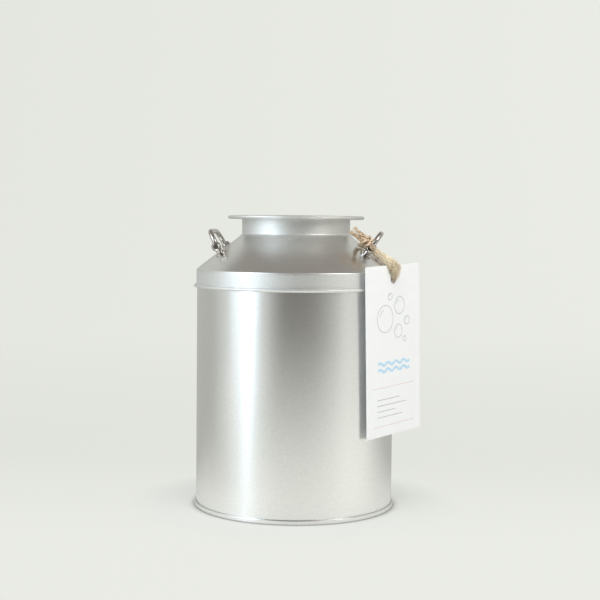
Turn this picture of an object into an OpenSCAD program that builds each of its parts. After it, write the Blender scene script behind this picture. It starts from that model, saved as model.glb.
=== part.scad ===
// Laundry powder tin shaped like a small milk churn. A slip-on lid carries the
// sloped shoulder, the neck and a wide flat top. Two wire handles swing in posts
// riveted to the shoulder, and a twine loop round one of these posts holds a hang tag.
// Units are millimetres, +Z is up, the origin is the middle of the standing ring.

/* [Can body] */
// Outside diameter of the body
body_d = 126.8; // [110:0.2:150]
// Thickness of the tinned sheet
sheet = 0.3; // [0.25:0.05:0.4]
// Height at which the skirt of the lid turns into the shoulder
shoulder_z = 150.9; // [130:0.1:170]
// Outside radius of the rolled rim at the mouth of the body
rim_curl_r = 1.0; // [0.8:0.05:1.2]
// Width of the welded side seam
weld_w = 1.6; // [1:0.1:3]
// Height of the weld over the wall
weld_t = 0.09; // [0.05:0.01:0.1]

/* [Bottom] */
// Height of the double seam round the bottom
seam_h = 2.8; // [2.6:0.1:3.6]
// Air between the folded layers of the seam
seam_gap = 0.05; // [0.03:0.01:0.08]
// Depth of the panel above the standing ring
panel_depth = 3.2; // [2.8:0.1:5]
// Width of the flat ring round the raised middle of the panel
panel_ring_w = 9.3; // [6:0.1:25]
// Height of that raised middle over the ring
panel_step = 0.8; // [0.4:0.1:1.5]

/* [Lid] */
// Air between the skirt and the body
lid_gap = 0.15; // [0.12:0.01:0.3]
// Height of the skirt below the shoulder, down to the middle of its curl
skirt_h = 9.7; // [7:0.1:14]
// Outside radius of the curl along the lower edge of the skirt
skirt_curl_r = 1.0; // [0.8:0.05:1.4]
// Slope of the middle of the shoulder above the level
cone_angle = 37; // [34:0.5:40]
// Slope of the shoulder where it meets the skirt and the neck
ogee_angle = 42.5; // [41:0.5:46]
// Radius of the slow curve at both ends of the shoulder
ogee_r = 80; // [40:1:90]
// Bend radius at the shoulder edge
edge_r = 1.2; // [1:0.1:2]
// Outside diameter of the neck
neck_d = 69.5; // [62:0.5:72]
// Bend radius at the foot of the neck
foot_r = 1.5; // [1:0.1:3]
// Overall height of the tin
tin_h = 186.2; // [184:0.1:200]

/* [Top plate] */
// Width of the top rim beyond the neck
flange_w = 9.15; // [7:0.05:13]
// Thickness of the rolled rim
top_rim_t = 2.1; // [1.9:0.1:2.8]
// Depth of the dished middle
dish_depth = 2.6; // [2.4:0.1:5]

/* [Handles] */
// Place of the posts on the slope, as a share of the way from the neck to the skirt
post_share = 0.55; // [0.5:0.01:0.58]
// Half of the angle between the two posts of a handle
post_spread = 26; // [22:0.5:28]
// Turn of the lid on the can
lid_turn = -4.5; // [-6:0.5:-3]
// Diameter of the collar under a post
collar_d = 7.2; // [6.4:0.1:8]
// Thickness of that collar
collar_t = 0.8; // [0.6:0.1:1]
// Diameter of the stem of a post
stem_d = 4.2; // [3.6:0.1:4.8]
// Diameter of the ball at the head of a post
ball_d = 6.2; // [5.6:0.1:6.6]
// Height of the hinge line above the shoulder, at a post
hinge_h = 5.4; // [5:0.1:6]
// Diameter of the rivet shank under a post
shank_d = 3.0; // [2.5:0.1:3.5]
// Thickness of the rivet head inside the lid
rivet_t = 1.3; // [1:0.1:2]
// Air round the shank and under the rivet heads
rivet_gap = 0.03; // [0.02:0.01:0.06]
// Diameter of the handle wire
wire_d = 3.2; // [2.6:0.1:3.4]
// Radial air of a handle pin in its bore
pin_gap = 0.05; // [0.02:0.01:0.08]
// Air between a ball and the bend of the wire beside it
leg_gap = 0.2; // [0.1:0.05:0.5]
// Inside radius of the bend between a pin and its leg
bend_in = 0.3; // [0.2:0.05:0.6]
// Straight length of a leg
leg_h = 1.0; // [0.6:0.1:3]
// Radius of the upper corners of a handle
corner_r = 8; // [5:0.5:9]
// Lean of the left handle towards the neck
left_lean = 8; // [-20:1:20]
// Lean of the right handle towards the neck
right_lean = 2; // [-20:1:20]

/* [Hang tag] */
// Width of the card
tag_w = 58; // [40:1:70]
// Height of the card
tag_h = 106; // [80:1:120]
// Thickness of the card
tag_t = 0.5; // [0.3:0.1:1]
// Diameter of the punched hole
hole_d = 5.5; // [4.5:0.1:7]
// Distance of the hole from the upper edge
hole_drop = 8.9; // [8:0.1:10]
// Direction in which the card faces
tag_turn = -39.2; // [-42:0.2:-36]
// Sideways distance of the card from where it touches the lid curl
tag_side = 16.5; // [14:0.5:19]
// Height of the middle of the card
tag_z = 103.2; // [102:0.1:105]
// Tilt of the card in its own plane
tag_tilt = 2; // [0:0.5:4]

/* [Twine] */
// Diameter of the twine
twine_d = 2.8; // [2:0.1:3]
// Diameter of the knot
knot_d = 8.4; // [6:0.1:8.6]

/* [Hidden] */
$fn = 64;
half = sheet / 2;
body_r = body_d / 2;
wall_r = body_r - half;
// Distance from one folded layer of the seam to the next
layer = sheet + seam_gap;
seam_wall_r = wall_r + 3 * layer;
chuck_r = wall_r - layer;
seam_bend = sheet;
hook_z = sheet + seam_gap + half + layer;
seam_top_z = seam_h - layer - half;
panel_z = panel_depth + half;
panel_run = 2 * panel_step;
panel_step_r = chuck_r - panel_ring_w - panel_run;
panel_bend = 0.8;
hook_end = 0.05;
rim_bend = rim_curl_r - half;
rim_curl_angle = 300;
weld_foot = 0.4;
weld_head = 1.0;

skirt_r = body_r + lid_gap + half;
skirt_bend = skirt_curl_r - half;
skirt_z = shoulder_z - skirt_h;
skirt_curl_angle = 490;
skirt_curl_out = skirt_r - half + 2 * skirt_curl_r;
neck_r = neck_d / 2 - half;
ca = cone_angle;
oa = ogee_angle;
edge_c = [skirt_r - edge_r, shoulder_z];
edge_end = edge_c + edge_r * [sin(oa), cos(oa)];
dome_c = edge_end - ogee_r * [sin(oa), cos(oa)];
dome_end = dome_c + ogee_r * [sin(ca), cos(ca)];
cone_l = (dome_end[0] + ogee_r * (sin(ca) - sin(oa)) - foot_r * (1 - sin(oa)) - neck_r) / cos(ca);
cone_end = dome_end + cone_l * [-cos(ca), sin(ca)];
flare_c = cone_end + ogee_r * [sin(ca), cos(ca)];
flare_end = flare_c - ogee_r * [sin(oa), cos(oa)];
foot_c = flare_end + foot_r * [sin(oa), cos(oa)];

top_z = tin_h - half;
flange_z = top_z - sheet;
flange_bend = 0.6;
top_bend = top_rim_t / 2 - half;
top_curl_r = neck_d / 2 + flange_w - top_rim_t / 2;
top_curl_angle = -195;
flange_end = 0.2;
dish_gap = 0.5;
dish_r = neck_r - half - dish_gap;
dish_bend = 1;

// Foot of a post on the outer face of the shoulder, and the line through its ball
post_r = neck_r + post_share * (skirt_r - neck_r);
post_z = dome_end[1] + (dome_end[0] - post_r) * tan(ca) + half / cos(ca);
ball_r = post_r + hinge_h * sin(ca);
hinge_x = ball_r * cos(post_spread);
hinge_y = ball_r * sin(post_spread);
hinge_z = post_z + hinge_h * cos(ca);
bore_d = wire_d + 2 * pin_gap;
collar_sink = 0.4;
rivet_step = 0.8;
rivet_d = collar_d - rivet_step;
cone_reach = 8;
drill_l = 6;
bend_r = wire_d / 2 + bend_in;
leg_y = hinge_y - ball_d / 2 - leg_gap - bend_r;
pin_inset = 0.4;
pin_end = hinge_y + ball_d / 2 - pin_inset;
right_side = 0;
left_side = 180;
// The two ends of a handle, seen from above
clockwise = -1;
anticlockwise = 1;

tag_gap = 0.15;
tag_r = skirt_curl_out + tag_gap + tag_t / 2;
punch_l = 4;
knot_at = [43.8, -33.2, 170.7];
tail_ends = [[32.9, -33.6, 176.8], [35.5, -32.8, 179.2]];
// Both ends of the loop are held in the knot
twine_route = [
    [45.4, -33.5, 169],
    [46.7, -33.8, 167.6],
    [50.2, -34.4, 164.7],
    [54.7, -35, 160.3],
    [58.3, -35, 157.5],
    [60.9, -33.7, 155.8],
    [61.8, -32.7, 152.2],
    [61.6, -31.5, 148.8],
    [60.6, -30.1, 147.3],
    [59.9, -28.4, 147.8],
    [59.8, -27.2, 150.2],
    [59.3, -25.5, 153.3],
    [56.8, -22, 156.3],
    [53.6, -19.4, 159.3],
    [49.8, -17.8, 162.4],
    [45.4, -17.4, 165.6],
    [41.6, -19.4, 167.7],
    [39.8, -23.2, 168.2],
    [40.1, -27.4, 168.5],
    [41.1, -30, 169],
    [42.2, -31.7, 169.8]
];
twine_steps = 3;
twine_sides = 8;

tin = [0.72, 0.72, 0.70];
nickel = [0.82, 0.82, 0.80];
jute = [0.80, 0.68, 0.50];
card = [0.96, 0.96, 0.95];

// Points of an arc, from the angle a0 to the angle a1, leaving out the first few
function arc(c, r, a0, a1, skip = 0) =
    let (n = max(3, ceil(abs(a1 - a0) / 15)))
    [for (i = [skip : n]) c + r * [cos(a0 + (a1 - a0) * i / n), sin(a0 + (a1 - a0) * i / n)]];

// Outline of a bent sheet from the path along its middle
function unit(v) = v / norm(v);
function side_of(p, i) = let (v = unit(p[i + 1] - p[i])) [-v[1], v[0]];
function miter(p, i) =
    let (a = side_of(p, max(i - 1, 0)))
    let (b = side_of(p, min(i, len(p) - 2)))
    (a + b) / (1 + a * b);
function bent_sheet(p, t) = concat(
    [for (i = [0 : len(p) - 1]) p[i] + miter(p, i) * t / 2],
    [for (i = [len(p) - 1 : -1 : 0]) p[i] - miter(p, i) * t / 2]);

// Body: hook in the seam, straight wall, rim rolled inwards
body_path = concat(
    [[wall_r + 2 * layer, seam_top_z - hook_end]],
    arc([wall_r + layer, hook_z], layer, 0, -180),
    arc([wall_r - rim_bend, shoulder_z], rim_bend, 0, rim_curl_angle));

// Bottom: raised middle, panel, chuck wall, standing ring, seam wall, hook
bottom_path = concat(
    [[0, panel_z + panel_step], [panel_step_r, panel_z + panel_step]],
    [[panel_step_r + panel_run, panel_z]],
    arc([chuck_r - panel_bend, panel_z - panel_bend], panel_bend, 90, 0),
    arc([chuck_r + seam_bend, half + seam_bend], seam_bend, 180, 270),
    arc([seam_wall_r - seam_bend, half + seam_bend], seam_bend, 270, 360),
    arc([seam_wall_r - layer, seam_top_z], layer, 0, 180),
    [[seam_wall_r - 2 * layer, hook_z + hook_end]]);

// Lid: curl, skirt, shoulder edge, dome, cone, flare, neck, flange under the top plate
lid_path = concat(
    arc([skirt_r + skirt_bend, skirt_z], skirt_bend, skirt_curl_angle, 180),
    arc(edge_c, edge_r, 0, 90 - oa),
    arc(dome_c, ogee_r, 90 - oa, 90 - ca, 1),
    arc(flare_c, ogee_r, 270 - ca, 270 - oa),
    arc(foot_c, foot_r, 270 - oa, 180, 1),
    arc([neck_r + flange_bend, flange_z - flange_bend], flange_bend, 180, 90),
    [[top_curl_r - flange_end, flange_z]]);

// Top plate: dished middle, flat ring, rim rolled round the flange of the neck
top_path = concat(
    [[0, top_z - dish_depth]],
    arc([dish_r - dish_bend, top_z - dish_depth + dish_bend], dish_bend, 270, 360),
    arc([dish_r + dish_bend, top_z - dish_bend], dish_bend, 180, 90),
    arc([top_curl_r, top_z - top_bend], top_bend, 90, top_curl_angle));

// Smooth curve through the route of the twine
function spline(a, b, c, d, t) = 0.5 * (2 * b + (c - a) * t
    + (2 * a - 5 * b + 4 * c - d) * t * t + (3 * b - a - 3 * c + d) * t * t * t);
function clip(i, n) = min(max(i, 0), n);
function curve(p, m) = let (n = len(p) - 1) concat(
    [for (i = [0 : n - 1]) for (k = [0 : m - 1])
        spline(p[clip(i - 1, n)], p[i], p[i + 1], p[clip(i + 2, n)], k / m)],
    [p[n]]);
function tangent(p, i) = unit(p[clip(i + 1, len(p) - 1)] - p[clip(i - 1, len(p) - 1)]);
function carried(p, v, i, done) = i == len(p) ? done :
    let (t = tangent(p, i))
    let (w = unit(v - (v * t) * t))
    carried(p, w, i + 1, concat(done, [w]));
function tube_points(p, r, s) =
    let (w = carried(p, [0, 0, 1], 0, []))
    [for (i = [0 : len(p) - 1]) for (k = [0 : s - 1])
        let (u = cross(tangent(p, i), w[i]))
        p[i] + r * (cos(360 * k / s) * w[i] + sin(360 * k / s) * u)];
function tube_faces(n, s) = concat(
    [[for (k = [0 : s - 1]) k]],
    [[for (k = [s - 1 : -1 : 0]) (n - 1) * s + k]],
    [for (i = [0 : n - 2]) for (k = [0 : s - 1])
        [i * s + k, (i + 1) * s + k, (i + 1) * s + (k + 1) % s]],
    [for (i = [0 : n - 2]) for (k = [0 : s - 1])
        [i * s + k, (i + 1) * s + (k + 1) % s, i * s + (k + 1) % s]]);

module spun(path) {
    rotate_extrude() polygon(bent_sheet(path, sheet));
}

// Frame of a post: local z stands off the shoulder
module at_post(side, end) {
    rotate([0, 0, lid_turn + side + end * post_spread]) translate([post_r, 0, post_z])
        rotate([0, cone_angle, 0]) children();
}

// Frame of a handle: local y runs along its hinge line, local z is upright
module at_hinge(side) {
    rotate([0, 0, lid_turn + side]) translate([hinge_x, 0, hinge_z]) children();
}

// Solid under the shoulder, moved off its outer face by the given distance
module under_shoulder(off) {
    translate([0, 0, post_z - cone_reach * tan(ca) + off / cos(ca)])
        cylinder(r1 = post_r + cone_reach, r2 = post_r - cone_reach, h = 2 * cone_reach * tan(ca));
}

module can_body() {
    color(tin) union() {
        spun(body_path);
        rotate([0, 0, 90 - weld_w / body_r * 90 / PI]) rotate_extrude(angle = weld_w / body_r * 180 / PI)
            translate([wall_r, seam_h + weld_foot])
                square([half + weld_t, shoulder_z - seam_h - weld_foot - weld_head]);
    }
}

module can_bottom() {
    color(tin) spun(bottom_path);
}

module shoulder_lid() {
    color(tin) difference() {
        spun(lid_path);
        for (side = [left_side, right_side], end = [clockwise, anticlockwise])
            at_post(side, end) cylinder(d = shank_d + 2 * rivet_gap, h = drill_l, center = true);
    }
}

module top_plate() {
    color(tin) spun(top_path);
}

module post_head() {
    translate([0, 0, -collar_sink]) cylinder(d = collar_d, h = collar_t + collar_sink);
    translate([0, 0, collar_t / 2]) cylinder(d = stem_d, h = hinge_h - collar_t / 2);
    translate([0, 0, hinge_h]) sphere(d = ball_d);
}

// Riveted post with a bore along the hinge line through its ball
module post(side, end) {
    color(nickel) difference() {
        union() {
            difference() {
                at_post(side, end) post_head();
                under_shoulder(rivet_gap);
            }
            at_post(side, end) translate([0, 0, -sheet - rivet_t / 2])
                cylinder(d = shank_d, h = sheet + rivet_t / 2 + collar_t);
            intersection() {
                at_post(side, end) translate([0, 0, -sheet - rivet_t])
                    cylinder(d = rivet_d, h = sheet + rivet_t);
                under_shoulder(-sheet - rivet_gap);
            }
        }
        at_hinge(side) rotate([90, 0, 0]) cylinder(d = bore_d, h = 2 * (hinge_y + ball_d), center = true);
    }
}

module wire_bend(r) {
    rotate_extrude(angle = 90) translate([r, 0]) circle(d = wire_d);
}

// Half of a handle in the plane of x and y: pin along x, leg, corner, half of the grip
module half_handle() {
    translate([leg_y + bend_r, 0, 0]) rotate([0, 90, 0])
        cylinder(d = wire_d, h = pin_end - leg_y - bend_r);
    translate([leg_y + bend_r, bend_r, 0]) rotate([0, 0, 180]) wire_bend(bend_r);
    translate([leg_y, bend_r, 0]) rotate([-90, 0, 0]) cylinder(d = wire_d, h = leg_h);
    translate([leg_y - corner_r, bend_r + leg_h, 0]) wire_bend(corner_r);
    translate([0, bend_r + leg_h + corner_r, 0]) rotate([0, 90, 0])
        cylinder(d = wire_d, h = leg_y - corner_r);
}

module handle(side, lean) {
    color(nickel) at_hinge(side) rotate([0, cone_angle - lean, 0]) rotate([90, 0, 90]) {
        half_handle();
        mirror([1, 0, 0]) half_handle();
    }
}

module left_front_post() { post(left_side, anticlockwise); }
module left_rear_post() { post(left_side, clockwise); }
module right_front_post() { post(right_side, clockwise); }
module right_rear_post() { post(right_side, anticlockwise); }
module left_handle() { handle(left_side, left_lean); }
module right_handle() { handle(right_side, right_lean); }

module twine() {
    p = curve(twine_route, twine_steps);
    color(jute) polyhedron(tube_points(p, twine_d / 2, twine_sides), tube_faces(len(p), twine_sides));
}

module twine_tail(a, b) {
    v = b - a;
    translate(a) rotate([0, acos(v[2] / norm(v)), atan2(v[1], v[0])])
        cylinder(d = twine_d, h = norm(v));
}

module twine_knot() {
    color(jute) union() {
        translate(knot_at) sphere(d = knot_d);
        twine_tail(knot_at, tail_ends[0]);
        twine_tail(knot_at, tail_ends[1]);
    }
}

module hang_tag() {
    color(card) rotate([0, 0, tag_turn]) translate([tag_r, tag_side, tag_z]) rotate([tag_tilt, 0, 0])
        difference() {
            cube([tag_t, tag_w, tag_h], center = true);
            translate([0, 0, tag_h / 2 - hole_drop]) rotate([0, 90, 0])
                cylinder(d = hole_d, h = punch_l, center = true);
        }
}

can_body();
can_bottom();
shoulder_lid();
top_plate();
left_front_post();
left_rear_post();
right_front_post();
right_rear_post();
left_handle();
right_handle();
twine();
twine_knot();
hang_tag();
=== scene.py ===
"""Looks of a laundry powder tin.

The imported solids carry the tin, its lid, the wire handles and the card. This
script gives them their finishes, lays the twine with its knot and loose
fibres, prints the hang tag, and sets up the camera and a small studio.
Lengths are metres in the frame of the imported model.
"""

import logging
import math
import random
from dataclasses import dataclass, replace
from enum import Enum
from functools import partial, reduce
from itertools import product
from typing import Callable, Sequence

import bpy
from mathutils import Matrix, Vector, noise


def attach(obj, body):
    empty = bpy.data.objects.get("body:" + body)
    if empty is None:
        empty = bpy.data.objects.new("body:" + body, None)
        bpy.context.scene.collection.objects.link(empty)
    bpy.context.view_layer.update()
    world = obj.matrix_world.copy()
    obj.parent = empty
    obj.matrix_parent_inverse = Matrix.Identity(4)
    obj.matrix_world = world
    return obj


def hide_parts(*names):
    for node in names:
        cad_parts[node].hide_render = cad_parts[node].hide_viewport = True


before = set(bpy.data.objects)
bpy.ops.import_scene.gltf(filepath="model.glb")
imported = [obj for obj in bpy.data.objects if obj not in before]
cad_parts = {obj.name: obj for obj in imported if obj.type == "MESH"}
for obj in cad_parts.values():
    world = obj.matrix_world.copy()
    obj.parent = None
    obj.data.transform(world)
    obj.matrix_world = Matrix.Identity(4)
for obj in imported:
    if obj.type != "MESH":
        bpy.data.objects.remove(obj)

LOG = logging.getLogger("laundry_tin")

Colour = tuple[float, float, float]
Point = tuple[float, float, float]
Flat = tuple[float, float]
Socket = bpy.types.NodeSocket
Material = bpy.types.Material
Piece = bpy.types.Object
Feed = float | Sequence[float] | Socket
Feeds = dict[str | int, Feed]
Along = Callable[[float], float]  # a value by the distance along a twine
Guard = Callable[[Vector, float], Vector]
Points = Sequence[Vector]
Faces = list[tuple[int, ...]]
Line = tuple[Sequence[Flat], float, bool]

MM = 0.001
TURN = 2 * math.pi
UP = Vector((0, 0, 1))

# Ranges that a share rises and falls over.
RISE: Flat = (0.0, 1.0)
FALL: Flat = (1.0, 0.0)

# Ranges that a noise is read in, from soft to hard contrast.
SOFT: Flat = (0.25, 0.75)
EVEN: Flat = (0.3, 0.7)
HARD: Flat = (0.35, 0.65)

# Sockets of the node that mixes two colours.
MIX_SHARE, MIX_FIRST, MIX_SECOND, MIX_RESULT = 0, 6, 7, 2

PALE: Colour = (0.80, 0.815, 0.765)
DAYLIGHT: Colour = (0.73, 0.87, 1.0)


class Body(Enum):
    """Moving bodies that new pieces ride on."""

    LID = "lid"


class Slot(Enum):
    """Material slots of the new pieces."""

    JUTE = "jute"
    CARD = "card"


class InkTone(Enum):
    """Inks of the hang tag, as linear colours."""

    GREY = (0.50, 0.51, 0.52)
    BLUE = (0.47, 0.71, 0.88)
    ROSE = (0.78, 0.62, 0.58)


def opaque(colour: Feed) -> Feed:
    """Return a colour with full alpha, or a socket as it is."""
    return colour if isinstance(colour, Socket) else (*colour, 1.0)


def scaled(colour: Colour, factor: float) -> Colour:
    """Return a colour times a factor."""
    return tuple(c * factor for c in colour)


class Shader:
    """A node material while it is being wired."""

    def __init__(self, name: str) -> None:
        """Start a material that only knows the place on its piece.

        Args:
            name: name of the material.
        """
        self.material = bpy.data.materials.new(name)
        self.material.use_nodes = True
        self.tree = self.material.node_tree
        self.tree.nodes.clear()
        self.place = self.add("ShaderNodeTexCoord").outputs["Object"]
        self.axes = self.add("ShaderNodeSeparateXYZ", {0: self.place}).outputs

    def add(self, kind: str, feeds: Feeds | None = None, **settings: object) -> bpy.types.Node:
        """Add a node and feed its sockets.

        Args:
            kind: type name of the node.
            feeds: constants or sockets by input name or number.
            settings: properties of the node itself.

        Returns:
            The new node.
        """
        node = self.tree.nodes.new(kind)
        for key, value in settings.items():
            setattr(node, key, value)
        for key, value in (feeds or {}).items():
            if isinstance(value, Socket):
                self.tree.links.new(value, node.inputs[key])
            else:
                node.inputs[key].default_value = value
        return node

    def vector(self, operation: str, second: Point) -> bpy.types.Node:
        """Return a node that works out a sum on the place and a fixed point."""
        return self.add("ShaderNodeVectorMath", {0: self.place, 1: second}, operation=operation)

    def noise(self, size: float, detail: float = 3.0, place: Socket | None = None) -> Socket:
        """Return a noise from 0 to 1 with cells of a given size and octaves of detail."""
        feeds = {"Vector": place or self.place, "Scale": 1 / size, "Detail": detail}
        return self.add("ShaderNodeTexNoise", feeds).outputs[0]

    def spread(self, value: Socket, source: Flat, target: Flat = RISE) -> Socket:
        """Return a value mapped from one range to another, clamped."""
        ranges = dict(zip(("From Min", "From Max", "To Min", "To Max"), source + target))
        return self.add("ShaderNodeMapRange", {"Value": value, **ranges}).outputs["Result"]

    def math(self, operation: str, first: Feed, second: Feed = 0.0) -> Socket:
        """Return the result of a sum on one or two values."""
        return self.add("ShaderNodeMath", {0: first, 1: second}, operation=operation).outputs[0]

    def largest(self, *values: Socket) -> Socket:
        """Return the largest of some values."""
        return reduce(partial(self.math, "MAXIMUM"), values)

    def product(self, *values: Socket) -> Socket:
        """Return the product of some values."""
        return reduce(partial(self.math, "MULTIPLY"), values)

    def weighted(self, *parts: tuple[Socket, float]) -> Socket:
        """Return the sum of some values, each times its weight."""
        terms = [self.math("MULTIPLY", value, weight) for value, weight in parts]
        return reduce(partial(self.math, "ADD"), terms)

    def mix(self, share: Feed, first: Feed, second: Feed) -> Socket:
        """Return two colours mixed by the share of the second."""
        feeds = {MIX_SHARE: share, MIX_FIRST: opaque(first), MIX_SECOND: opaque(second)}
        return self.add("ShaderNodeMix", feeds, data_type="RGBA").outputs[MIX_RESULT]

    def bump(self, height: Socket, depth: float, **onto: Socket) -> Socket:
        """Return the normal of a relief of a given depth, laid onto another Normal if given."""
        feeds = {"Height": height, "Strength": 1.0, "Distance": depth, **onto}
        return self.add("ShaderNodeBump", feeds).outputs["Normal"]

    def close(self, surface: Socket) -> Material:
        """Wire a closure to the output and return the finished material."""
        self.add("ShaderNodeOutputMaterial", {"Surface": surface})
        return self.material

    def principled(self, feeds: Feeds) -> Material:
        """Close with one principled surface and return the finished material."""
        return self.close(self.add("ShaderNodeBsdfPrincipled", feeds).outputs[0])


@dataclass(frozen=True)
class Tinplate:
    """Satin tinned sheet with a fine rolled grain that runs round the tin.

    The weld fades out between two distances. The slope is a smoother band between heights.
    """

    name: str
    bright: Colour = (0.935, 0.93, 0.915)
    dull: Colour = (0.83, 0.825, 0.81)
    smooth: float = 0.285
    rough: float = 0.31
    cloud_size: float = 0.045
    speck_size: float = 0.0012
    grain_size: float = 0.0007
    grain_depth: float = 0.0000005
    streak_pitch: float = 0.0004
    streak_length: float = 0.03
    streak_depth: float = 0.0000007
    stretch: float = 0.55
    weld: Flat = (0.0, 0.0)
    weld_share: float = 0.75
    weld_colour: Colour = (0.40, 0.40, 0.41)
    weld_rough: float = 0.12
    slope: Flat = (0.0, 0.0)
    slope_edge: float = 0.002
    slope_polish: float = 1.0

    def material(self) -> Material:
        """Return the sheet's material."""
        shader = Shader(self.name)
        x, y, z = shader.axes
        cloud = shader.noise(self.cloud_size)
        grain = shader.noise(self.grain_size, detail=1.0)
        run = (1 / self.streak_length, 1 / self.streak_length, 1 / self.streak_pitch)
        streak = shader.noise(1.0, place=shader.vector("MULTIPLY", run).outputs["Vector"])
        speck = shader.noise(self.speck_size, detail=1.0)
        mottle = shader.weighted((cloud, 0.2), (streak, 0.2), (speck, 0.6))
        colour = shader.mix(shader.spread(mottle, SOFT), self.dull, self.bright)
        haze = shader.weighted((grain, 0.3), (cloud, 0.7))
        roughness = shader.spread(haze, SOFT, (self.smooth, self.rough))
        if self.weld[1]:
            near = shader.spread(shader.math("ABSOLUTE", x), self.weld, (self.weld_share, 0.0))
            seam = shader.product(near, shader.math("GREATER_THAN", y, 0.0))
            colour = shader.mix(seam, colour, self.weld_colour)
            roughness = shader.weighted((roughness, 1.0), (seam, self.weld_rough))
        if self.slope_polish < 1.0:
            low, high = self.slope
            above = shader.spread(z, (low, low + self.slope_edge))
            below = shader.spread(z, (high - self.slope_edge, high), FALL)
            polish = shader.spread(shader.product(above, below), RISE, (1.0, self.slope_polish))
            roughness = shader.product(roughness, polish)
        relief = shader.bump(streak, self.streak_depth)
        tangent = shader.add("ShaderNodeTangent", direction_type="RADIAL", axis="Z").outputs[0]
        return shader.principled({
            "Base Color": colour,
            "Metallic": 1.0,
            "Roughness": roughness,
            "Normal": shader.bump(grain, self.grain_depth, Normal=relief),
            "Anisotropic": self.stretch,
            "Anisotropic Rotation": 0.25,
            "Tangent": tangent,
        })


@dataclass(frozen=True)
class NickelPlate:
    """Bright nickel plate on the posts and handles."""

    bright: Colour = (0.76, 0.72, 0.68)
    dull: Colour = (0.52, 0.48, 0.445)
    smooth: float = 0.07
    rough: float = 0.17
    spot_size: float = 0.0012
    scratch_size: float = 0.00025
    scratch_depth: float = 0.0000015

    def material(self) -> Material:
        """Return the plate's material."""
        shader = Shader("nickel_plate")
        spots = shader.noise(self.spot_size)
        scratches = shader.noise(self.scratch_size, detail=2.0)
        return shader.principled({
            "Base Color": shader.mix(shader.spread(spots, HARD), self.dull, self.bright),
            "Metallic": 1.0,
            "Roughness": shader.spread(spots, HARD, (self.rough, self.smooth)),
            "Normal": shader.bump(scratches, self.scratch_depth),
        })


@dataclass(frozen=True)
class Jute:
    """Raw jute, tan where it is tied and straw-pale where it opens up; the straw is partly painted
    light.
    """

    tan_dark: Colour = (0.45, 0.31, 0.195)
    tan_light: Colour = (0.83, 0.64, 0.45)
    # The straw colours are partly the opened fibres' own paler colour and partly painted light,
    # standing for light that shines through them.
    straw_dark: Colour = (0.95, 0.78, 0.53)
    straw_light: Colour = (0.985, 0.91, 0.73)
    fleck_size: float = 0.0016
    fibre_pitch: float = 0.00012
    fibre_depth: float = 0.00004

    def material(self) -> Material:
        """Return the fibre's material."""
        shader = Shader("raw_jute")
        tone, pale = (shader.add("ShaderNodeAttribute", attribute_name=label).outputs["Fac"]
                      for label in ("tone", "pale"))
        fleck = shader.noise(self.fleck_size)
        fibre = shader.noise(self.fibre_pitch, detail=2.0)
        shade = shader.spread(shader.weighted((fleck, 0.45), (tone, 0.55)), SOFT)
        tan = shader.mix(shade, self.tan_dark, self.tan_light)
        straw = shader.mix(shade, self.straw_dark, self.straw_light)
        return shader.principled({
            "Base Color": shader.mix(pale, tan, straw),
            "Roughness": shader.spread(fibre, EVEN, (0.7, 0.95)),
            "Specular IOR Level": 0.25,
            "Sheen Weight": 0.08,
            "Sheen Roughness": 0.5,
            "Normal": shader.bump(fibre, self.fibre_depth),
        })


@dataclass(frozen=True)
class Paperboard:
    """Uncoated white card with a faint felt grain."""

    bright: Colour = (0.93, 0.93, 0.925)
    dull: Colour = (0.905, 0.905, 0.895)
    cloud_size: float = 0.006
    felt_size: float = 0.00045
    felt_depth: float = 0.000012

    def material(self) -> Material:
        """Return the card's material."""
        shader = Shader("white_card")
        cloud = shader.noise(self.cloud_size)
        felt = shader.noise(self.felt_size)
        shade = shader.spread(shader.weighted((cloud, 0.5), (felt, 0.5)), HARD)
        return shader.principled({
            "Base Color": shader.mix(shade, self.dull, self.bright),
            "Roughness": shader.spread(felt, EVEN, (0.55, 0.75)),
            "Specular IOR Level": 0.3,
            "Normal": shader.bump(felt, self.felt_depth),
        })


@dataclass(frozen=True)
class Ink:
    """Thin matt print that lets a little of the card through."""

    tone: InkTone
    grain_size: float = 0.0003
    gap_size: float = 0.0015
    cover: float = 0.72
    bare: float = 0.28 * 0.9

    def material(self) -> Material:
        """Return the ink's material."""
        shader = Shader(f"ink_{self.tone.name.lower()}")
        grain = shader.noise(self.grain_size, detail=2.0)
        gaps = shader.spread(shader.noise(self.gap_size, detail=2.0), HARD)
        thin = tuple(self.cover * c + self.bare for c in self.tone.value)
        return shader.principled({
            "Base Color": shader.mix(gaps, self.tone.value, thin),
            "Roughness": shader.spread(grain, EVEN, (0.5, 0.7)),
            "Specular IOR Level": 0.3,
        })


def dress(node: str, material: Material) -> None:
    """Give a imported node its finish.

    Args:
        node: name of the node.
        material: finish of the node.
    """
    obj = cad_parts[node]
    if not obj.material_slots:
        obj.data.materials.append(material)
    for slot in obj.material_slots:
        slot.material = material
    LOG.info("dressed %s with %s", node, material.name)


def add_object(name: str, data: bpy.types.ID) -> Piece:
    """Link new data to the scene as an object.

    Args:
        name: name of the object.
        data: mesh, lamp or camera.

    Returns:
        The object.
    """
    obj = bpy.data.objects.new(name, data)
    bpy.context.scene.collection.objects.link(obj)
    return obj


def add_mesh(name: str, points: Points, faces: Faces, material: Material,
             smooth: bool = False) -> Piece:
    """Make a piece from points and faces.

    Args:
        name: name of the piece.
        points: corners of the faces.
        faces: numbers of each face's corners.
        material: finish of the piece.
        smooth: whether the faces are shaded smooth.

    Returns:
        The piece.
    """
    mesh = bpy.data.meshes.new(name)
    mesh.from_pydata(points, [], faces)
    mesh.polygons.foreach_set("use_smooth", [smooth] * len(mesh.polygons))
    mesh.materials.append(material)
    mesh.update()
    return add_object(name, mesh)


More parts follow.
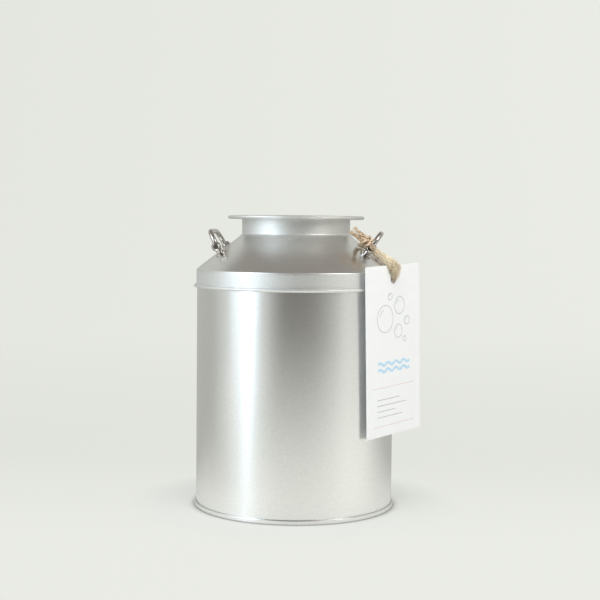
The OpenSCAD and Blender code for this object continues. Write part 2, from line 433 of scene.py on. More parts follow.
def smooth_step(x: float, low: float, high: float) -> float:
    """Return a share that rises smoothly from 0 at the low end to 1 at the high end."""
    t = min(max((x - low) / (high - low), 0.0), 1.0)
    return t * t * (3 - 2 * t)


def carried_frames(points: Points) -> list[tuple[Vector, Vector]]:
    """Carry two directions square to a line along it, without twist.

    Args:
        points: points along the line.

    Returns:
        The two directions at each point.
    """
    last = len(points) - 1
    frames: list[tuple[Vector, Vector]] = []
    for i in range(last + 1):
        tangent = (points[min(i + 1, last)] - points[max(i - 1, 0)]).normalized()
        if not frames:
            upright = abs(tangent.z) > 0.9
            normal = tangent.cross(Vector((1, 0, 0)) if upright else UP).normalized()
        normal = (normal - normal.dot(tangent) * tangent).normalized()
        frames.append((normal, tangent.cross(normal)))
    return frames


def tube_faces(first: int, rings: int, sides: int, closed: bool = False) -> Faces:
    """Return the faces of a tube.

    Args:
        first: number of its first point.
        rings: number of its rings of points.
        sides: points in each ring.
        closed: whether it runs back to its start instead of having caps.

    Returns:
        The faces.
    """
    faces: Faces = []
    for i in range(rings if closed else rings - 1):
        a, b = first + i * sides, first + (i + 1) % rings * sides
        for k in range(sides):
            n = (k + 1) % sides
            faces.append((a + k, a + n, b + n, b + k))
    if not closed:
        faces.append(tuple(first + k for k in reversed(range(sides))))
        faces.append(tuple(first + (rings - 1) * sides + k for k in range(sides)))
    return faces


class Path:
    """A smooth curve with even steps and a frame carried along it."""

    def __init__(self, knots: Points, step: float) -> None:
        """Run a curve through the given points.

        Args:
            knots: points that the curve passes.
            step: distance between the even steps.
        """
        self.points = self.even(self.through(knots), step)
        self.frames = carried_frames(self.points)
        self.length = sum((b - a).length for a, b in zip(self.points, self.points[1:]))

    @staticmethod
    def through(knots: Points, steps: int = 16) -> list[Vector]:
        """Return a dense smooth curve through the given points.

        Args:
            knots: points that the curve passes.
            steps: short steps from one point to the next.

        Returns:
            Points along the curve.
        """
        last = len(knots) - 1
        dense = []
        for i in range(last):
            a, b, c, d = (knots[min(max(i + k, 0), last)] for k in (-1, 0, 1, 2))
            for k in range(steps):
                t = k / steps
                dense.append(0.5 * (2 * b + (c - a) * t + (2 * a - 5 * b + 4 * c - d) * t**2
                                    + (3 * b - a - 3 * c + d) * t**3))
        return dense + [knots[last].copy()]

    @staticmethod
    def even(dense: Points, step: float) -> list[Vector]:
        """Space points evenly along a dense curve.

        Args:
            dense: points along the curve.
            step: wanted distance.

        Returns:
            Evenly spaced points.
        """
        marks = [0.0]
        for a, b in zip(dense, dense[1:]):
            marks.append(marks[-1] + (b - a).length)
        count = max(2, round(marks[-1] / step))
        points, at = [], 0
        for k in range(count + 1):
            want = marks[-1] * k / count
            while at < len(dense) - 2 and marks[at + 1] < want:
                at += 1
            span = marks[at + 1] - marks[at]
            share = (want - marks[at]) / span if span else 0.0
            points.append(dense[at].lerp(dense[at + 1], share))
        return points

    def around(self, i: int, angle: float) -> Vector:
        """Return the direction square to the curve at a point and a turn round it."""
        normal, side = self.frames[i]
        return math.cos(angle) * normal + math.sin(angle) * side


class StrandMesh:
    """Closed round strands gathered into one mesh."""

    def __init__(self) -> None:
        """Start with no strand."""
        self.points: list[Vector] = []
        self.faces: Faces = []
        self.tone: list[float] = []
        self.pale: list[float] = []

    def strand(self, points: Points, radii: Sequence[float], tone: float,
               pale: Sequence[float], sides: int) -> None:
        """Add one strand, closed at both ends.

        Args:
            points: middle of the strand.
            radii: radius at each point.
            tone: shade of the strand, from 0 to 1.
            pale: share of the paler colour at each point.
            sides: sides of its section.
        """
        first = len(self.points)
        for i, (normal, side) in enumerate(carried_frames(points)):
            for k in range(sides):
                angle = TURN * k / sides
                out = math.cos(angle) * normal + math.sin(angle) * side
                self.points.append(points[i] + radii[i] * out)
                self.tone.append(tone)
                self.pale.append(pale[i])
        self.faces += tube_faces(first, len(points), sides)

    def build(self, name: str, material: Material) -> Piece:
        """Make the object.

        Args:
            name: name of the piece.
            material: finish of the piece.

        Returns:
            The new piece.
        """
        piece = add_mesh(name, self.points, self.faces, material, smooth=True)
        for label, values in (("tone", self.tone), ("pale", self.pale)):
            piece.data.attributes.new(label, "FLOAT", "POINT").data.foreach_set("value", values)
        return piece


@dataclass(frozen=True)
class Ramp:
    """A value along a twine that may rise between two distances."""

    base: float
    rise: float = 0.0
    start: float = 0.0
    end: float = 1.0

    def __call__(self, along: float) -> float:
        """Return the value at a distance along the twine."""
        return self.base + self.rise * smooth_step(along, self.start, self.end)


@dataclass(frozen=True)
class Tuft:
    """A number of loose fibres on a stretch of twine."""

    count: int
    seed: int
    length: Flat
    span: Flat = (0.0, 1.0)
    radius: Flat = (0.00003, 0.00005)
    taper: tuple[float, ...] = (1, 1, 0.95, 0.85, 0.7, 0.4)
    curve: float = 1.3
    shortest: float = 0.0006


@dataclass(frozen=True)
class TwineLay:
    """How a twine is laid up: yarns twisted into plies, plies twisted together.

    Offsets, opening and the yarns' radius are shares of the diameter.
    """

    diameter: float = 0.0028
    plies: int = 2
    yarns: int = 7
    ply_pitch: float = 0.0105
    ply_offset: float = 0.225
    yarn_pitch: float = 0.0068
    yarn_offset: float = 0.152
    yarn_radius: float = 0.088
    opening: float = 0.27
    jitter_cell: Point = (420, 3.1, 1.7)
    jitter_open: float = 0.6
    jitter_reach: float = 0.12
    jitter_share: float = 0.25
    tip_radius: float = 0.35
    tip_length: float = 0.0016
    step: float = 0.0005

    def lay(self, mesh: StrandMesh, path: Path, seed: int, openness: Along, paleness: Along,
            ends: Flat = (0.0, 0.0), guard: Guard | None = None) -> None:
        """Lay the yarns of one twine along a path.

        Args:
            mesh: mesh that takes the strands.
            path: middle of the twine.
            seed: number that fixes the chance parts.
            openness: how far the lay has come apart.
            paleness: share of the paler colour.
            ends: longest trim of a yarn at the start and the end.
            guard: moves a point off what the twine lies against.
        """
        rng = random.Random(seed)
        last = len(path.points) - 1
        step = path.length / last
        rate, ply_shift, yarn_shift = self.jitter_cell
        for ply, yarn in product(range(self.plies), range(self.yarns)):
            tone, phase = rng.random(), rng.uniform(-0.35, 0.35)
            start = round(rng.random() * ends[0] / step)
            stop = last - round(rng.random() * ends[1] / step)
            points, radii, pale = [], [], []
            for i in range(start, stop + 1):
                along = i * step
                loose = openness(along)
                cell = (along * rate, seed + ply * ply_shift, yarn * yarn_shift)
                jitter = noise.noise(Vector(cell))
                turn = TURN * (along / self.ply_pitch / (1 + loose) + ply / self.plies)
                offset = self.ply_offset + self.opening * loose
                point = path.points[i] + path.around(i, turn) * self.diameter * offset
                if yarn:
                    spin = TURN * (yarn / (self.yarns - 1) - along / self.yarn_pitch) + phase
                    wide = self.opening * loose * (1 + self.jitter_open * jitter)
                    reach = self.diameter * (self.yarn_offset + wide)
                    reach = reach * (1 + self.jitter_reach * jitter)
                    point = point + path.around(i, spin) * reach
                taper = 1.0
                if ends[1]:
                    share = min(1.0, (stop - i) * step / self.tip_length)
                    taper = self.tip_radius + (1 - self.tip_radius) * share
                points.append(guard(point, along) if guard else point)
                radius = self.diameter * self.yarn_radius * taper
                radii.append(radius * (1 + self.jitter_share * jitter))
                pale.append(min(1.0, max(0.0, paleness(along) + self.jitter_share * jitter)))
            mesh.strand(points, radii, tone, pale, sides=6)

    def fibres(self, mesh: StrandMesh, path: Path, tuft: Tuft, reach: Along, paleness: Along,
               guard: Guard | None = None) -> None:
        """Add loose fibres that stand off the twine.

        Args:
            mesh: mesh that takes the fibres.
            path: middle of the twine.
            tuft: number, place and size of the fibres.
            reach: how far a fibre may stand off the twine's middle.
            paleness: share of the paler colour.
            guard: moves a point off what the twine lies against.
        """
        rng = random.Random(tuft.seed)
        last = len(path.points) - 1
        step = path.length / last
        root = 0.44 * self.diameter
        count = len(tuft.taper)
        for _ in range(tuft.count):
            at = rng.uniform(tuft.span[0], min(tuft.span[1], path.length)) / step
            run = rng.uniform(*tuft.length) * rng.choice((-1, 1))
            angle, twist = rng.uniform(0, TURN), rng.uniform(-1.2, 1.2)
            share = rng.uniform(0.6, 1.0)
            points = []
            for k in range(count):
                t = k / (count - 1)
                i = min(max(round(at + t * run / step), 0), last)
                off = root + (share * reach(i * step) - root) * t**tuft.curve
                point = path.points[i] + path.around(i, angle + twist * t) * off
                points.append(guard(point, i * step) if guard else point)
            if (points[-1] - points[0]).length < tuft.shortest:
                continue
            radius = rng.uniform(*tuft.radius)
            radii = [radius * r for r in tuft.taper]
            mesh.strand(points, radii, rng.random(), [paleness(at * step)] * count, sides=3)


@dataclass(frozen=True)
class CardPlace:
    """Where the hang tag hangs against the lid."""

    turn: float = -39.2
    distance: float = 0.06595
    side: float = 0.0165
    height: float = 0.1032
    tilt: float = 2.0
    thickness: float = 0.0005

    def matrix(self) -> Matrix:
        """Return the card's own frame: x off its face, y to the right, z up."""
        turn = Matrix.Rotation(math.radians(self.turn), 4, "Z")
        tilt = Matrix.Rotation(math.radians(self.tilt), 4, "X")
        return turn @ Matrix.Translation((self.distance, self.side, self.height)) @ tilt


@dataclass(frozen=True)
class TwineKnot:
    """Knot of the twine: two cut tails through a wrap of the same twine."""

    centre: Point = (0.0438, -0.0332, 0.1707)
    tail_ends: tuple[Point, ...] = ((0.0329, -0.0336, 0.1768), (0.0355, -0.0328, 0.1792))
    tail_lay: TwineLay = TwineLay(diameter=0.0028, ply_pitch=0.016)
    tail_start: float = 0.003
    tail_bow: float = 0.0008
    tail_bows: tuple[float, ...] = (0.5, 1.0, 0.6, 0.0)
    tail_brush: float = 0.006
    wrap_lay: TwineLay = TwineLay(diameter=0.0025, ply_pitch=0.009)
    wrap_radius: float = 0.0029
    wrap_turns: float = 2.1
    wrap_pitch: float = 0.0026
    wrap_steps: int = 26
    wrap_angle: float = 0.6
    wrap_tuck: float = 0.12
    wrap_low: float = 0.35
    fibre_length: Flat = (0.0015, 0.004)

    def build(self, fibre_mesh: StrandMesh, material: Material) -> Piece:
        """Make the knot.

        Args:
            fibre_mesh: mesh that takes the knot's loose fibres.
            material: finish of the twine.

        Returns:
            The knot.
        """
        centre = Vector(self.centre)
        ends = [Vector(p) for p in self.tail_ends]
        axis = ((ends[0] + ends[1]) / 2 - centre).normalized()
        mesh = StrandMesh()
        for k, end in enumerate(ends):
            bow = (end - centre).normalized()
            bow = ((bow - bow.dot(axis) * axis).normalized()) * self.tail_bow
            stops = (centre - self.tail_start * axis, centre, centre.lerp(end, 0.5), end)
            path = Path([p + b * bow for p, b in zip(stops, self.tail_bows)], self.tail_lay.step)
            brush = (path.length - self.tail_brush, path.length)
            shade = Ramp(0.18)
            self.tail_lay.lay(mesh, path, seed=31 + k, openness=Ramp(0.35, 0.35, *brush),
                              paleness=shade, ends=(0.0, 0.0012))
            self.tail_lay.fibres(fibre_mesh, path, Tuft(70, seed=41 + k, length=self.fibre_length),
                                 reach=Ramp(0.0016, 0.0012, *brush), paleness=shade)
        wrap = Path(self.wrap_points(centre, axis), self.wrap_lay.step)
        self.wrap_lay.lay(mesh, wrap, seed=37, openness=Ramp(0.1), paleness=Ramp(0.08))
        self.wrap_lay.fibres(fibre_mesh, wrap, Tuft(60, seed=47, length=self.fibre_length),
                             reach=Ramp(0.0019), paleness=Ramp(0.2))
        return mesh.build("twine_knot_tied", material)

    def wrap_points(self, centre: Vector, axis: Vector) -> list[Vector]:
        """Return the turns that the wrap takes round the tails.

        Args:
            centre: middle of the knot.
            axis: direction of the tails.

        Returns:
            Points along the wrap, with both ends tucked under.
        """
        side = axis.cross(UP).normalized()
        up = side.cross(axis)
        points = []
        for k in range(self.wrap_steps + 1):
            t = k / self.wrap_steps
            angle = TURN * self.wrap_turns * (t - 0.5) + self.wrap_angle
            tuck = smooth_step(t, 0.0, self.wrap_tuck)
            tuck = tuck * (1 - smooth_step(t, 1 - self.wrap_tuck, 1.0))
            radius = self.wrap_radius * (self.wrap_low + (1 - self.wrap_low) * tuck)
            shift = axis * self.wrap_pitch * self.wrap_turns * (t - 0.5)
            points.append(centre + shift + radius * (math.cos(angle) * side + math.sin(angle) * up))
        return points


@dataclass
class TwineLoop:
    """Loop of jute twine round a post of the right handle, with its knot."""

    route: tuple[Point, ...] = (
        (0.0454, -0.0335, 0.169), (0.0467, -0.0338, 0.1676), (0.0502, -0.0344, 0.1647),
        (0.0547, -0.035, 0.1603), (0.0583, -0.035, 0.1575), (0.0609, -0.0337, 0.1558),
        (0.0618, -0.0327, 0.1522), (0.0616, -0.0315, 0.1488), (0.0606, -0.0301, 0.1473),
        (0.0599, -0.0284, 0.1478), (0.0598, -0.0272, 0.1502), (0.0593, -0.0255, 0.1533),
        (0.0568, -0.022, 0.1563), (0.0536, -0.0194, 0.1593), (0.0498, -0.0178, 0.1624),
        (0.0454, -0.0174, 0.1656), (0.0416, -0.0194, 0.1677), (0.0398, -0.0232, 0.1682),
        (0.0401, -0.0274, 0.1685), (0.0411, -0.03, 0.169), (0.0422, -0.0317, 0.1698),
    )
    knot: TwineKnot = TwineKnot()
    lay: TwineLay = TwineLay()
    seed: int = 5
    tufts: tuple[Tuft, ...] = (
        Tuft(420, seed=17, length=(0.002, 0.006)),
        Tuft(380, seed=23, length=(0.004, 0.008), span=(0.012, 0.0275), radius=(0.00009, 0.00016)),
    )
    loose_rise: Flat = (0.004, 0.0228)
    loose_fall: Flat = (0.0228, 0.0295)
    loose_drop: float = 0.9
    # Paleness picks the straw colour: partly the opened fibres' own colour, partly painted light
    # shining through them.
    pale_base: float = 0.15
    pale_rise: Flat = (0.004, 0.014)
    pale_fall: Flat = (0.023, 0.030)
    pale_drop: float = 0.7
    card: CardPlace = CardPlace()
    card_start: float = 0.015
    card_end: float = 0.042
    card_air: float = 0.0003
    hole_at: float = 0.0305
    hole_reach: float = 0.002
    post_start: float = 0.040
    post_end: float = 0.077
    post_reach: float = 0.0017
    tied_reach: float = 0.0021
    loose_reach: float = 0.0031

    def openness(self, along: float) -> float:
        """Return how far the loop has come apart at a distance from the knot."""
        fall = 1 - self.loose_drop * smooth_step(along, *self.loose_fall)
        return smooth_step(along, *self.loose_rise) * fall

    def paleness(self, along: float) -> float:
        """Return the share of straw colour at a distance from the knot."""
        fall = 1 - self.pale_drop * smooth_step(along, *self.pale_fall)
        return self.pale_base + (1 - self.pale_base) * (smooth_step(along, *self.pale_rise) * fall)

    def fibre_reach(self, along: float) -> float:
        """Return how far fibres stand off the loop at a distance from the knot."""
        free = self.tied_reach + self.loose_reach * self.openness(along)
        return self.post_reach if self.post_start < along < self.post_end else free

    def off_card(self, point: Vector, along: float) -> Vector:
        """Keep a strand in front of the card up to the hole and behind it from there on.

        Args:
            point: point of a strand.
            along: distance from the knot.

        Returns:
            The point, moved off the card if need be.
        """
        from_hole = along - self.hole_at
        if not self.card_start < along < self.card_end or abs(from_hole) < self.hole_reach:
            return point
        place = self.card.matrix()
        local = place.inverted() @ point
        face = self.card.thickness / 2 + self.card_air
        local.x = max(local.x, face) if from_hole < 0 else min(local.x, -face)
        return place @ local

    def build(self, material: Material) -> list[Piece]:
        """Make the loop, the knot and the loose fibres.

        Args:
            material: finish of the twine.

        Returns:
            The three pieces.
        """
        path = Path([Vector(p) for p in self.route], self.lay.step)
        loop_mesh = StrandMesh()
        self.lay.lay(loop_mesh, path, self.seed, self.openness, self.paleness,
                     guard=self.off_card)
        loop = loop_mesh.build("twine_loop", material)
        fibre_mesh = StrandMesh()
        for tuft in self.tufts:
            self.lay.fibres(fibre_mesh, path, tuft, self.fibre_reach, self.paleness, self.off_card)
        knot = self.knot.build(fibre_mesh, material)
        fibres = fibre_mesh.build("twine_fibres", material)
        for piece in (loop, knot, fibres):
            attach(piece, Body.LID.value)
        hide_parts("twine")
        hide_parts("twine_knot")
        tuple(self.route[0])
        [tuple(p) for p in path.points[::4]]
        return [loop, knot, fibres]


@dataclass
class TagPrint:
    """Generic print on the card: soap bubbles, waves and short rules.

    Places on the card are millimetres from its middle, to the right and up.
    """

    card: CardPlace = CardPlace()
    film: float = 0.00003
    line: float = 0.0005
    bubbles: tuple[Point, ...] = (
        (-9.0, 20.0, 8.4), (6.5, 27.5, 5.4), (5.0, 11.5, 4.2),
        (14.5, 17.5, 2.7), (-3.5, 33.5, 2.1), (12.0, 6.0, 1.6),
    )
    glint_from: float = 2.0
    glint_radius: float = 0.68
    waves: tuple[float, ...] = (-8.0, -12.0)
    wave_half_length: float = 17.0
    wave_steps: int = 60
    wave_height: float = 0.9
    wave_rate: float = 0.74
    wave_line: float = 0.0017
    rules: tuple[Point, ...] = (
        (-18.0, -30.0, 24.0), (-18.0, -33.6, 31.0),
        (-18.0, -37.2, 19.0), (-18.0, -40.8, 27.0),
    )
    borders: tuple[float, ...] = (-22.5, -46.5)
    border_half_length: float = 22.0
    border_line: float = 0.8

    def ribbon(self, points: Sequence[Flat], width: float, closed: bool,
               into: tuple[list[Vector], Faces]) -> None:
        """Add a thin flat line of ink.

        Args:
            points: middle of the line on the card.
            width: width of the line, in metres.
            closed: whether the line runs back to its start.
            into: points and faces that it is added to.
        """
        verts, faces = into
        first, count = len(verts), len(points)
        low = self.card.thickness / 2 - self.film / 2
        high = low + 1.5 * self.film
        for i, (u, v) in enumerate(points):
            a = points[(i - 1) % count] if closed else points[max(i - 1, 0)]
            b = points[(i + 1) % count] if closed else points[min(i + 1, count - 1)]
            across = Vector((a[1] - b[1], b[0] - a[0])).normalized() * width / 2
            for sign, x in ((1, low), (1, high), (-1, high), (-1, low)):
                verts.append(Vector((x, u * MM + sign * across.x, v * MM + sign * across.y)))
        faces += tube_faces(first, count, 4, closed)

    def arc(self, centre: Flat, radius: float, ends: Flat, count: int) -> list[Flat]:
        """Return points along an arc on the card.

        Args:
            centre: middle of the arc.
            radius: radius of the arc.
            ends: first and last angle, in degrees.
            count: number of steps.

        Returns:
            The points, the last one left out for a full circle.
        """
        start, end = ends
        steps = range(count if abs(end - start) >= 360 else count + 1)
        angles = [math.radians(start + (end - start) * k / count) for k in steps]
        return [(centre[0] + radius * math.cos(a), centre[1] + radius * math.sin(a))
                for a in angles]

    def print_layer(self, tone: InkTone, lines: Sequence[Line]) -> Piece:
        """Make one ink of the print.

        Args:
            tone: ink of the layer.
            lines: middle, width and closure of each line.

        Returns:
            The layer.
        """
        into: tuple[list[Vector], Faces] = ([], [])
        for points, width, closed in lines:
            self.ribbon(points, width, closed, into)
        place = self.card.matrix()
        layer = add_mesh(f"tag_print_{tone.name.lower()}", [place @ v for v in into[0]], into[1],
                         Ink(tone).material())
        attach(layer, Body.LID.value)
        return layer

    def build(self) -> list[Piece]:
        """Print the card in three inks and return the layers."""
        grey: list[Line] = []
        for u, v, r in self.bubbles:
            grey.append((self.arc((u, v), r, ends=(0, 360), count=48), self.line, True))
            if r > self.glint_from:
                glint = self.arc((u, v), self.glint_radius * r, ends=(105, 165), count=10)
                grey.append((glint, self.line, False))
        grey += [(((u, v), (u + n, v)), self.line, False) for u, v, n in self.rules]
        span = [self.wave_half_length * (2 * k / self.wave_steps - 1)
                for k in range(self.wave_steps + 1)]
        blue = [([(u, v + self.wave_height * math.sin(u * self.wave_rate)) for u in span],
                 self.wave_line, False) for v in self.waves]
        half = self.border_half_length
        rose = [(((-half, v), (half, v)), self.border_line * self.line, False)
                for v in self.borders]
        layers = ((InkTone.GREY, grey), (InkTone.BLUE, blue), (InkTone.ROSE, rose))
        return [self.print_layer(tone, lines) for tone, lines in layers]


@dataclass
class TinCan:
    """Can body with its welded side and double-seamed bottom."""

    wall: Tinplate = Tinplate("can_sheet", weld=(0.00064, 0.00112))
    bottom: Tinplate = Tinplate("bottom_sheet", smooth=0.27, rough=0.36)

    def build(self) -> None:
        """Dress the can."""
        dress("can_body", self.wall.material())
        dress("can_bottom", self.bottom.material())


@dataclass
class ChurnLid:
    """Slip-on lid: skirt, sloped shoulder, neck and rolled top."""

    top: Tinplate = Tinplate("top_sheet", smooth=0.52, rough=0.56, stretch=0.15)
    drawn: Tinplate = replace(top, name="lid_sheet", slope=(0.150, 0.175), slope_polish=0.55)

    def build(self) -> None:
        """Dress the lid and its top plate."""
        dress("shoulder_lid", self.drawn.material())
        dress("top_plate", self.top.material())


@dataclass
class WireHandle:
    """Wire handle with the two riveted posts that it swings in."""

    grip: str
    posts: tuple[str, ...]

    def build(self, plate: Material) -> None:
        """Dress the handle and its posts with one finish."""
        for node in (self.grip, *self.posts):
            dress(node, plate)


@dataclass(frozen=True)
class PhotoCamera:
    """Camera at the photograph's viewing angle."""

    location: Point = (0.0, -0.796367, 0.178577)
    pitch_down: float = 3.348
    roll: float = 0.548
    lens: float = 74.0
    sensor: float = 36.0
    shift: float = 0.00762

    def build(self) -> None:
        """Make the camera."""
        data = bpy.data.cameras.new("photo_camera")
        data.lens = self.lens
        data.sensor_width = self.sensor
        data.shift_x = self.shift
        camera = add_object("photo_camera", data)
        pitch = Matrix.Rotation(math.radians(90 - self.pitch_down), 4, "X")
        roll = Matrix.Rotation(math.radians(self.roll), 4, "Z")
        camera.matrix_world = Matrix.Translation(self.location) @ pitch @ roll
        bpy.context.scene.camera = camera


@dataclass(frozen=True)
class SoftBox:
    """Soft rectangular lamp aimed at the tin."""

    name: str
    location: Point
    aim: Point
    width: float
    height: float
    radiance: float
    colour: Colour = (1.0, 1.0, 1.0)
    mirrored: bool = True

    def build(self) -> None:
        """Make the lamp."""
        data = bpy.data.lights.new(self.name, "AREA")
        data.shape = "RECTANGLE"
        data.size = self.width
        data.size_y = self.height
        data.energy = self.radiance * math.pi * self.width * self.height
        data.color = self.colour
        lamp = add_object(self.name, data)
        towards = (Vector(self.aim) - Vector(self.location)).to_track_quat("-Z", "Y")
        lamp.matrix_world = Matrix.Translation(self.location) @ towards.to_matrix().to_4x4()
        lamp.visible_camera = False
        lamp.visible_glossy = self.mirrored


@dataclass(frozen=True)
class SweepPaint:
    """Paint of the sweep: a lit floor that runs into a glowing pale wall.

    The glow holds painted light: it is a little brighter to the right and changes from front
    to back, and a painted contact shadow darkens floor and glow by the tin. Metal mirrors the
    near floor brighter and the rest dimmer than the camera sees it, as painted reflection and
    painted shade, with a painted pool of window light.
    """

    floor: Colour = (0.745, 0.75, 0.725)
    cloud_size: float = 1 / 6
    cloud_level: float = 0.985
    contact_reach: float = 0.005
    contact_dark: float = 0.38
    lit_reach: float = 0.11
    wall_levels: Flat = (0.965, 1.03)
    mirrored_near: float = 1.2
    mirrored_far: float = 0.62
    pool_at: Point = (-0.50, -0.26, 0.0)
    pool_reach: float = 0.38
    pool_glow: float = 0.8

    def material(self) -> Material:
        """Return the paint's material."""
        shader = Shader("sweep_paint")
        x, y, _ = shader.axes
        cloud = shader.noise(self.cloud_size)
        paint = shader.mix(cloud, self.floor, scaled(self.floor, self.cloud_level))
        # Painted contact shadow: the floor's paint, and the glow through its strength, darken where
        # ambient occlusion finds the tin close by.
        open_sky = shader.add("ShaderNodeAmbientOcclusion", {"Distance": self.contact_reach},
                              samples=6).outputs["AO"]
        contact = shader.spread(open_sky, (0.45, 0.92), (self.contact_dark, 1.0))
        paint = shader.mix(contact, (0.0, 0.0, 0.0), paint)
        lit = shader.add("ShaderNodeBsdfDiffuse", {"Color": paint}).outputs[0]
        # Painted light: the wall's glow is a little brighter to the right than to the left.
        left, right = (scaled(PALE, level) for level in self.wall_levels)
        wall = shader.mix(shader.spread(x, (-1.0, 1.0)), left, right)
        flat = shader.vector("MULTIPLY", (1.0, 1.0, 0.0)).outputs["Vector"]
        away = shader.add("ShaderNodeVectorMath", {0: flat}, operation="LENGTH").outputs["Value"]
        rays = shader.add("ShaderNodeLightPath").outputs
        change = shader.product(rays["Is Glossy Ray"], self.mirrored(shader, away))
        # Painted light falloff: the glow is a little brighter at the front, dimmer just behind the
        # tin and a little brighter again far back.
        near_band = shader.spread(y, (-0.10, 0.15), (1.03, 0.955))
        far_band = shader.spread(y, (0.3, 1.2), (0.0, 0.045))
        strength = shader.product(shader.math("ADD", change, 1.0),
                                  shader.math("ADD", near_band, far_band), contact)
        glow = shader.add("ShaderNodeEmission", {"Color": wall, "Strength": strength}).outputs[0]
        kinds = ("Camera", "Glossy", "Transmission")
        seen = shader.largest(*(rays[f"Is {kind} Ray"] for kind in kinds))
        share = shader.product(seen, shader.spread(away, (0.0, self.lit_reach)))
        surface = shader.add("ShaderNodeMixShader", {0: share, 1: lit, 2: glow})
        return shader.close(surface.outputs[0])

    def mirrored(self, shader: Shader, away: Socket) -> Socket:
        """Find how much brighter metal mirrors the sweep.

        Args:
            shader: material under construction.
            away: distance from the tin's axis.

        Returns:
            The change of strength, 0 where there is none.
        """
        x, y, z = shader.axes
        # Painted reflection and shade, seen only in metal: the near floor is mirrored brighter, and
        # the floor and wall dimmer far away, to the left and behind the tin, a little less so
        # higher up.
        far = shader.spread(away, (0.45, 1.2))
        left = shader.spread(x, (-0.25, -0.07), FALL)
        behind = shader.spread(y, (-0.06, 0.12))
        low = shader.spread(z, (0.4, 1.2), (1.0, 0.8))
        dim = shader.product(shader.largest(far, left, behind), low)
        change = shader.spread(dim, RISE, (self.mirrored_near - 1, self.mirrored_far - 1))
        # Painted pool of window light on the floor to the left front, seen only in reflections.
        pool = shader.vector("DISTANCE", self.pool_at).outputs["Value"]
        glow = shader.spread(pool, (0.0, self.pool_reach), (self.pool_glow, 0.0))
        return shader.math("ADD", change, glow)


@dataclass(frozen=True)
class DarkCard:
    """Dark glowing card in front of the tin that only shows as a painted reflection."""

    depth: float = -0.57
    left: float = -0.30
    right: float = 0.80
    height: float = 0.45
    left_fade_to: float = -0.12
    right_fade_from: float = 0.215
    top_fade_from: float = 0.20
    dark: Colour = (0.034, 0.025, 0.021)
    edge: Colour = scaled(PALE, 0.44)

    def material(self) -> Material:
        """Return the card's painted glow, dark in its middle and paler towards three edges."""
        shader = Shader("dark_card")
        x, _, z = shader.axes
        edges = shader.largest(shader.spread(x, (self.right_fade_from, self.right)),
                               shader.spread(z, (self.top_fade_from, self.height)),
                               shader.spread(x, (self.left, self.left_fade_to), FALL))
        colour = shader.mix(edges, self.dark, self.edge)
        return shader.close(shader.add("ShaderNodeEmission", {"Color": colour}).outputs[0])

    def build(self) -> None:
        """Make the card."""
        sides = (self.left, self.right)
        corners = [Vector((x, self.depth, z)) for z in (0.0, self.height) for x in sides]
        card = add_mesh("dark_card", corners, [(0, 1, 3, 2)], self.material())
        for rays in ("camera", "diffuse", "shadow", "transmission"):
            setattr(card, f"visible_{rays}", False)


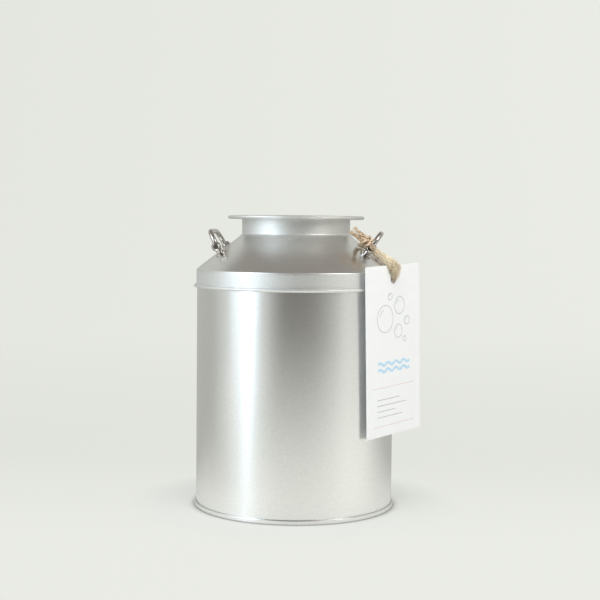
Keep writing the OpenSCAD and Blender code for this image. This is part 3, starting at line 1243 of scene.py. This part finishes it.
@dataclass(frozen=True)
class Studio:
    """Pale round sweep, soft lamps and a dark card in front of the tin."""

    floor_radius: float = 1.5
    floor_rings: int = 6
    sweep_radius: float = 1.0
    sweep_rings: int = 12
    sides: int = 96
    wall_height: float = 2.5
    sky: Colour = (0.060, 0.050, 0.042)
    mirrored_sky: Colour = (0.285, 0.265, 0.240)
    lamps: tuple[SoftBox, ...] = (
        SoftBox("window_strip", (-1.03, -0.735, 0.70), (0, 0, 0.35), 0.18, 1.40, 4.9, DAYLIGHT),
        SoftBox("window_glow", (-1.12, -0.67, 0.70), (0, 0, 0.20), 0.95, 1.30, 1.46, DAYLIGHT),
        SoftBox("window_spill", (-1.29, -0.08, 0.60), (0, 0, 0.15), 0.75, 1.20, 0.2,
                (0.96, 0.98, 1.0)),
        SoftBox("ceiling_box", (0.0, -0.75, 1.45), (0, 0, 0.05), 1.1, 0.8, 5.6, mirrored=False),
        SoftBox("right_box", (0.80, -0.62, 0.80), (0, 0, 0.15), 0.7, 0.6, 2.6),
        SoftBox("fill_card", (1.25, -0.35, 0.55), (0, 0, 0.10), 1.1, 1.1, 0.06),
        SoftBox("tag_fill", (0.85, -0.95, 0.45), (0.06, -0.03, 0.10), 0.7, 0.7, 2.25,
                mirrored=False),
    )

    def build(self) -> None:
        """Make the sweep, the card, the lamps and the sky."""
        self.build_sweep()
        DarkCard().build()
        for lamp in self.lamps:
            lamp.build()
        self.build_sky()
        bpy.context.scene.view_settings.view_transform = "Standard"

    def build_sky(self) -> None:
        """Make the sky, which is brighter where metal mirrors it."""
        world = bpy.data.worlds.new("studio_sky")
        world.use_nodes = True
        tree = world.node_tree
        rays = tree.nodes.new("ShaderNodeLightPath")
        blend = tree.nodes.new("ShaderNodeMix")
        blend.data_type = "RGBA"
        blend.inputs[MIX_FIRST].default_value = opaque(self.sky)
        blend.inputs[MIX_SECOND].default_value = opaque(self.mirrored_sky)
        tree.links.new(rays.outputs["Is Glossy Ray"], blend.inputs[MIX_SHARE])
        tree.links.new(blend.outputs[MIX_RESULT], tree.nodes["Background"].inputs["Color"])
        bpy.context.scene.world = world

    def profile(self) -> list[Flat]:
        """Return radius and height of the sweep's rings, from the floor up."""
        rings = range(1, self.floor_rings + 1)
        rows = [(self.floor_radius * k / self.floor_rings, 0.0) for k in rings]
        for k in range(1, self.sweep_rings + 1):
            a = math.radians(-90 + 90 * k / self.sweep_rings)
            rows.append((self.floor_radius + self.sweep_radius * math.cos(a),
                         self.sweep_radius * (1 + math.sin(a))))
        return rows + [(self.floor_radius + self.sweep_radius, self.wall_height)]

    def build_sweep(self) -> None:
        """Make the floor that rises into a wall all round."""
        rows, sides = self.profile(), self.sides
        angles = [TURN * k / sides for k in range(sides)]
        verts = [Vector()]
        for r, z in rows:
            verts += [Vector((r * math.cos(a), r * math.sin(a), z)) for a in angles]
        faces: Faces = [(0, 1 + k, 1 + (k + 1) % sides) for k in range(sides)]
        for ring in range(len(rows) - 1):
            for k in range(sides):
                a, b = 1 + ring * sides + k, 1 + ring * sides + (k + 1) % sides
                faces.append((a, a + sides, b + sides, b))
        sweep = add_mesh("studio_sweep", verts, faces, SweepPaint().material(), smooth=True)


def main() -> None:
    """Build the camera, the twine, the tin and the studio in order."""
    logging.basicConfig(level=logging.INFO, format="%(name)s: %(message)s")
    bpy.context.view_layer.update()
    PhotoCamera().build()
    for piece in TwineLoop().build(Jute().material()):
        LOG.info("built %s", piece.name)
    TinCan().build()
    ChurnLid().build()
    plate = NickelPlate().material()
    for side in ("left", "right"):
        WireHandle(f"{side}_handle", (f"{side}_front_post", f"{side}_rear_post")).build(plate)
    dress("hang_tag", Paperboard().material())
    for piece in TagPrint().build():
        LOG.info("printed %s", piece.name)
    Studio().build()


if __name__ == "__main__":
    main()
